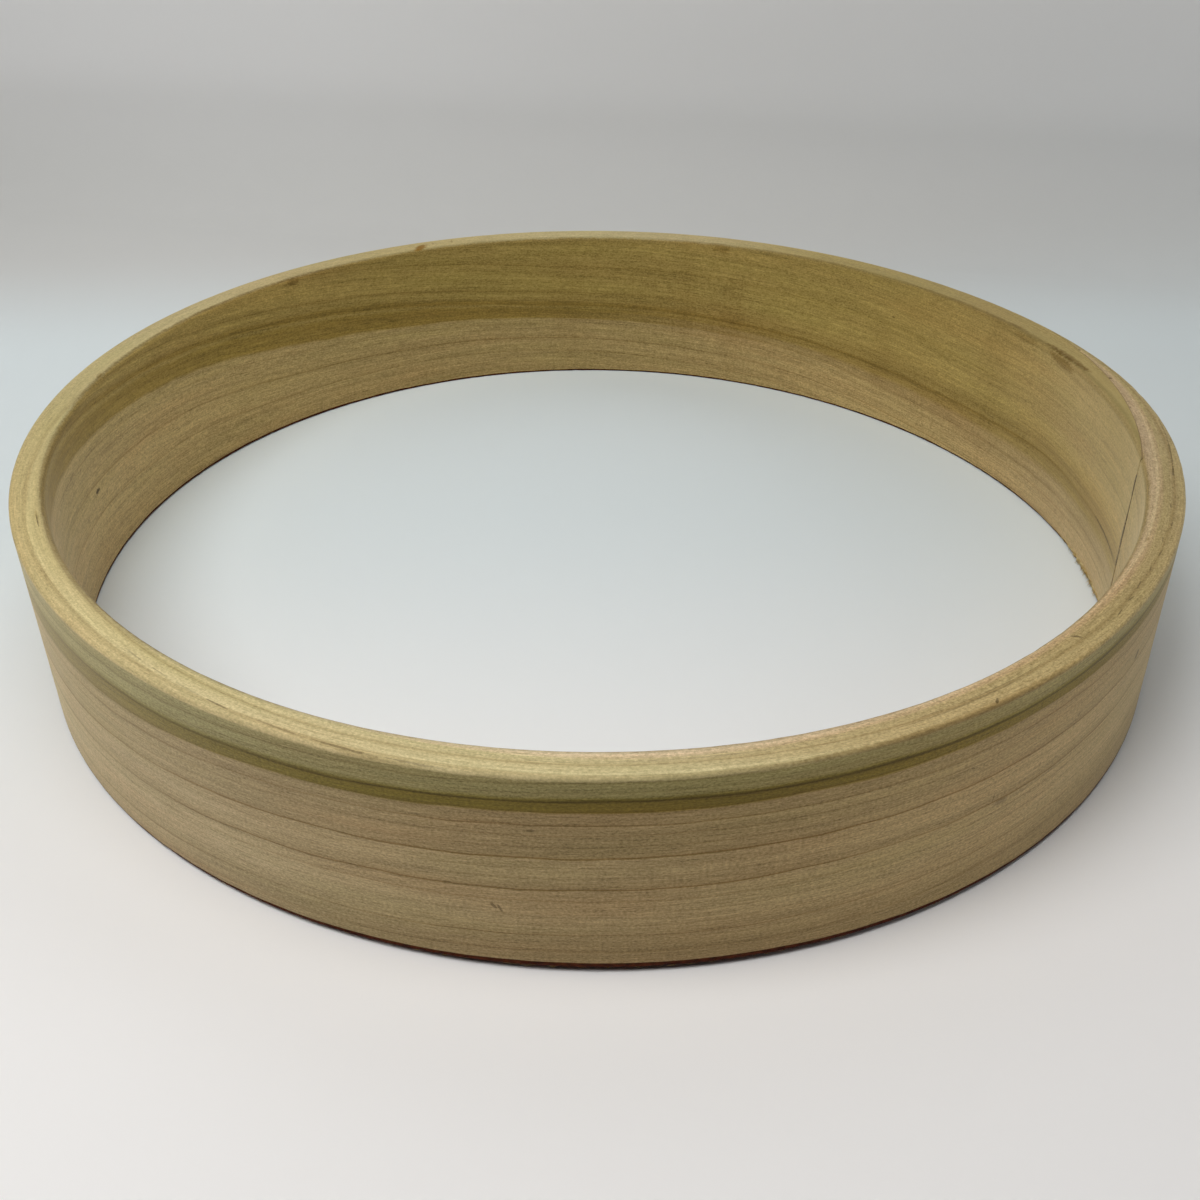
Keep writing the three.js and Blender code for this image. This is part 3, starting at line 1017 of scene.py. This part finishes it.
def with_growth_lines(shade, board, colour):
    fading = shade.spread(shade.noise(board.grain, LINE_FADING), 0.35, 0.6, 0.5, 1.0)
    lines = growth_lines(shade, board.ring_mm, fading)
    lines = shade.times(lines, shade.spread(board.sanded, 0, 1, 1, RIM_LINE_SHARE))
    lines = shade.times(lines, shade.spread(board.inside, 0, 1, 1, INNER_LINE_SHARE))
    return shade.tinted(lines, colour, LINE_TINT)


def wood_tones(shade, board):
    """Brightness and relief of the fine grain: streaks, threads, flecks, cross ticks and torn fibres."""
    patches = shade.noise(board.grain, PATCHES)
    wide = shade.noise(board.grain, WIDE_STREAKS)
    streaks = shade.noise(board.grain, STREAKS)
    threads = shade.noise(board.grain, THREADS)
    fuzz = shade.noise(board.upright, FUZZ)
    flecks = shade.smooth(shade.noise(board.grain, FLECKS), 0.6, 0.74)
    ticks = shade.noise(board.upright, TICKS)
    ticked = shade.smooth(shade.noise(board.grain, TICKED_PLACES), 0.42, 0.62)
    torn = shade.noise(board.upright, TORN_GRAIN)
    tone = shade.spread(patches, 0.3, 0.7, *PATCH_TONES)
    reaches = [(wide, WIDE_TONE), (streaks, STREAK_TONE), (threads, THREAD_TONE), (fuzz, FUZZ_TONE)]
    for source, reach in reaches:
        tone = shade.plus(tone, shade.spread(source, 0.25, 0.75, -reach, reach))
    rough_rim = shade.spread(fuzz, 0.3, 0.7, -TORN_FUZZ_TONE, TORN_FUZZ_TONE)
    tone = shade.plus(tone, shade.times(board.torn, rough_rim))
    tone = shade.less(tone, shade.times(flecks, FLECK_TONE))
    tone = shade.plus(tone, shade.times(ticked, shade.spread(ticks, 0.3, 0.7, -TICK_TONE, TICK_TONE)))
    tone = shade.plus(tone, shade.times(board.torn, shade.spread(torn, 0.3, 0.7, *TORN_TONES)))
    # The paler inner face is partly a painted sheen.
    calm = shade.times(board.inside, shade.attribute("inner_pale_and_sheen"))
    smoother = shade.times(board.sanded, SMOOTHER_SHARE)
    smoother = shade.plus(smoother, shade.times(calm, SMOOTHER_SHARE), clamp=True)
    tone = shade.times_plus(shade.less(EVEN_TONE, tone), smoother, tone)
    relief = shade.plus(shade.times(streaks, 0.5), shade.times(threads, 0.5))
    relief = shade.plus(relief, shade.times(ticks, 0.15))
    relief = shade.plus(relief, shade.times(fuzz, 0.3))
    relief = shade.plus(relief, shade.times(board.torn, shade.times(torn, 0.5)))
    return tone, relief, streaks


def with_tone(shade, tone, colour):
    """A colour multiplied by the grain's tone. Darker wood is also browner."""
    green = shade.math("POWER", tone, 1.04)
    blue = shade.math("POWER", tone, 1.25)
    bright = shade.node("CombineColor", {0: tone, 1: green, 2: blue}).outputs[0]
    return shade.filtered(colour, bright)


def with_drifts(shade, board, colour):
    """Pinkish and greenish drifts along the grain."""
    drift = shade.noise(board.grain, COLOUR_DRIFT)
    pinker = shade.filtered(colour, PINKER_TINT)
    colour = shade.mix(shade.spread(drift, 0.5, 0.75, 0, 0.6), colour, pinker)
    greener = shade.filtered(colour, GREENER_TINT)
    return shade.mix(shade.spread(drift, 0.5, 0.25, 0, 0.6), colour, greener)


def with_marks(shade, board, colour):
    """The marks and stains of the two faces and the rim, where some stains are partly painted shade."""
    wobble = shade.spread(shade.noise(board.upright, MARK_WOBBLE), 0.3, 0.7, -0.5, 0.5)
    unsanded = shade.less(1.0, board.sanded)

    def on_face(list_of_marks, side):
        return shade.times(marks(shade, board.along_mm, board.edge_mm, wobble, list_of_marks), side)

    def on_rim(list_of_marks):
        return shade.times(marks(shade, board.along_mm, board.depth_mm, wobble, list_of_marks), board.sanded)

    face_dark = shade.plus(on_face(INNER_MARKS, board.inside), on_face(OUTER_MARKS, board.outside))
    face_dark = shade.times(face_dark, unsanded)
    rim_dark = on_rim(RIM_MARKS)
    inner_stained = shade.times(on_face(INNER_STAINS, board.inside), unsanded)
    # The long rim stains along the inner corner are partly painted shade.
    stain_and_shade = shade.plus(inner_stained, on_rim(RIM_STAINS_AND_SHADE), clamp=True)
    colour = shade.tinted(stain_and_shade, colour, STAIN_AND_SHADE_TINT)
    colour = shade.mix(on_rim(RESIN_SPOTS), colour, RESIN_COLOUR)
    return shade.mix(shade.plus(face_dark, rim_dark, clamp=True), colour, MARK_COLOUR)


def poplar():
    """Raw poplar: broad bands, then dark lines, then the fine grain, and marks over all."""
    shade = Shade("poplar")
    board = BoardPlace(shade)
    faces = shade.mix(board.inside, outer_colour(shade, board), inner_colour(shade, board))
    colour = shade.mix(board.sanded, faces, rim_colour(shade, board))
    colour = with_growth_lines(shade, board, colour)
    tone, relief, streaks = wood_tones(shade, board)
    colour = with_tone(shade, tone, colour)
    colour = with_drifts(shade, board, colour)
    colour = with_marks(shade, board, colour)
    roughness = shade.spread(streaks, 0.25, 0.75, 0.56, 0.72)
    return shade.finish(colour, roughness, shade.bump(relief, 0.6, 0.2 * MM), 0.15, sheen=0.4)


def shaded_bottom_poplar():
    """The bottom edge's end grain, a dark red-brown: painted shade where the hoop meets the table and over
    the gap under the front.
    """
    shade = Shade("shaded_bottom_poplar")
    place = shade.attribute("board_place", "Vector")
    cloud = shade.smooth(shade.noise(place, BOTTOM_SHADE_CLOUD), 0.3, 0.7)
    colour = shade.mix(cloud, srgb(50, 18, 9), srgb(92, 44, 22))
    bump = shade.bump(shade.noise(place, BOTTOM_SHADE_GRIT), 0.3, 0.1 * MM)
    return shade.finish(colour, 0.8, bump, 0.1)


def dried_glue():
    shade = Shade("dried_glue")
    place = shade.node("TexCoord").outputs["Object"]
    cloud = shade.noise(place, GLUE_CLOUD)
    colour = shade.mix(cloud, srgb(96, 70, 30), srgb(150, 118, 62))
    bump = shade.bump(shade.noise(place, GLUE_GRIT), 0.4, 0.1 * MM)
    return shade.finish(colour, shade.spread(cloud, 0.3, 0.7, 0.3, 0.5), bump, 0.5)


def splinter_wood():
    shade = Shade("splinter_wood")
    place = shade.node("TexCoord").outputs["Object"]
    cloud = shade.smooth(shade.noise(place, FIBRE_CLOUD), 0.35, 0.65)
    colour = shade.mix(cloud, srgb(176, 148, 88), srgb(206, 188, 138))
    bump = shade.bump(shade.noise(place, FIBRE_GRIT), 0.4, 0.05 * MM)
    return shade.finish(colour, 0.65, bump, 0.3)


def pale_paper():
    """Thin white card, a little warmer and lighter at the front left and greyer where it curves up, in
    painted light and shade.
    """
    shade = Shade("pale_paper")
    place = shade.node("TexCoord").outputs["Object"]
    sideways, away, up = shade.node("SeparateXYZ", {0: place}).outputs
    cloud = shade.noise(place, PAPER_CLOUD)

    def clouded(*colour):
        return shade.mix(cloud, srgb(*colour), srgb(*(value + 4 for value in colour)))

    # Painted light and shade: lightest at the front, darker under and behind the hoop, darkest in the bend.
    colour = shade.mix(shade.smooth(away, -0.2, 0.06), clouded(243, 241, 239), clouded(218, 226, 227))
    colour = shade.mix(shade.smooth(away, 0.2, 0.36), colour, clouded(206, 206, 203))
    colour = shade.mix(shade.smooth(up, 0.005, 0.09), colour, clouded(232, 231, 230))
    # Painted shade: the card darkens from left to right, away from the lamp.
    tone = shade.smooth(sideways, -0.3, 0.3, 1.045, 0.96)
    colour = shade.filtered(colour, shade.node("CombineColor", {0: tone, 1: tone, 2: tone}).outputs[0])
    bump = shade.bump(shade.noise(place, PAPER_GRIT), 0.1, 0.2 * MM)
    return shade.finish(colour, 0.7, bump, 0.2)


# The stage.


def make_stage():
    """One pale sheet: a table that curves up into a backdrop, turned a little to the camera."""
    half_width = 3.0
    front = -2.5
    back = 0.40
    bend = 0.06
    bend_steps = 12
    wall_height = 2.2
    turned = math.radians(-13)
    profile = [(front, 0.0), (back - bend, 0.0)]
    for step in range(1, bend_steps + 1):
        swing = math.pi / 2 * step / bend_steps
        profile.append((back - bend + bend * math.sin(swing), bend - bend * math.cos(swing)))
    profile.append((back, wall_height))
    points = []
    for y, z in profile:
        for x in (-half_width, half_width):
            turned_x = x * math.cos(turned) - y * math.sin(turned)
            turned_y = x * math.sin(turned) + y * math.cos(turned)
            points.append((turned_x, turned_y, z))
    faces = [[2 * k, 2 * k + 1, 2 * k + 3, 2 * k + 2] for k in range(len(profile) - 1)]
    sheet = new_mesh_object("pale_sheet", points, faces)
    sheet.data.materials.append(pale_paper())
    return sheet


def add_light(name, place, size, power):
    """A round lamp that points at the middle of the hoop's floor."""
    light = bpy.data.lights.new(name, "AREA")
    light.shape = "DISK"
    light.size = size
    light.energy = power
    made = bpy.data.objects.new(name, light)
    made.location = place
    made.rotation_euler = (-Vector(place)).to_track_quat("-Z", "Y").to_euler()
    bpy.context.scene.collection.objects.link(made)


def light_scene():
    """A lamp high on the near left casts the soft shadows; one overhead and two at the sides fill them."""
    add_light("lamp", (-0.45, -0.37, 1.02), 0.72, 6.5)
    add_light("ceiling", (0.0, -0.30, 1.30), 0.8, 4.2)
    add_light("window", (1.80, 0.0, 0.85), 1.2, 6.8)
    add_light("doorway", (-1.80, 0.0, 0.85), 1.2, 1.6)
    world = bpy.data.worlds.new("soft_room")
    world.use_nodes = True
    background = world.node_tree.nodes["Background"]
    background.inputs["Color"].default_value = (0.97, 0.985, 1, 1)
    background.inputs["Strength"].default_value = 0.03
    bpy.context.scene.world = world


def place_camera():
    """The photograph's view: a lens of 41 mm on a 36 mm frame, close above the near edge of the hoop."""
    tilt = 0.5864
    roll = -0.0125
    yaw = 0.0078
    back = 0.4287
    height = 0.2720
    camera = bpy.data.cameras.new("camera")
    camera.sensor_width = 36
    camera.lens = 41.08
    camera.clip_start = 0.01
    forward = Vector((math.sin(yaw) * math.cos(tilt), math.cos(yaw) * math.cos(tilt), -math.sin(tilt)))
    level = Vector((math.cos(yaw), -math.sin(yaw), 0))
    above = level.cross(forward)
    right = level * math.cos(roll) + above * math.sin(roll)
    up = above * math.cos(roll) - level * math.sin(roll)
    turn = Matrix((right, up, -forward)).transposed().to_4x4()
    made = bpy.data.objects.new("camera", camera)
    made.matrix_world = Matrix.Translation((-MIDDLE_X, -back - MIDDLE_Y, height)) @ turn
    bpy.context.scene.collection.objects.link(made)
    bpy.context.scene.camera = made


def main():
    bpy.context.scene.view_settings.view_transform = "Standard"
    place_camera()
    light_scene()
    make_stage()

    board = make_board()
    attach(board, "root")
    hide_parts("bent_board")

    splinters = make_splinters()
    splinters.data.materials.append(splinter_wood())
    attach(splinters, "root")

    film = make_glue_film()
    film.data.materials.append(dried_glue())
    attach(film, "root")
    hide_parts("scarf_glue_line")


main()
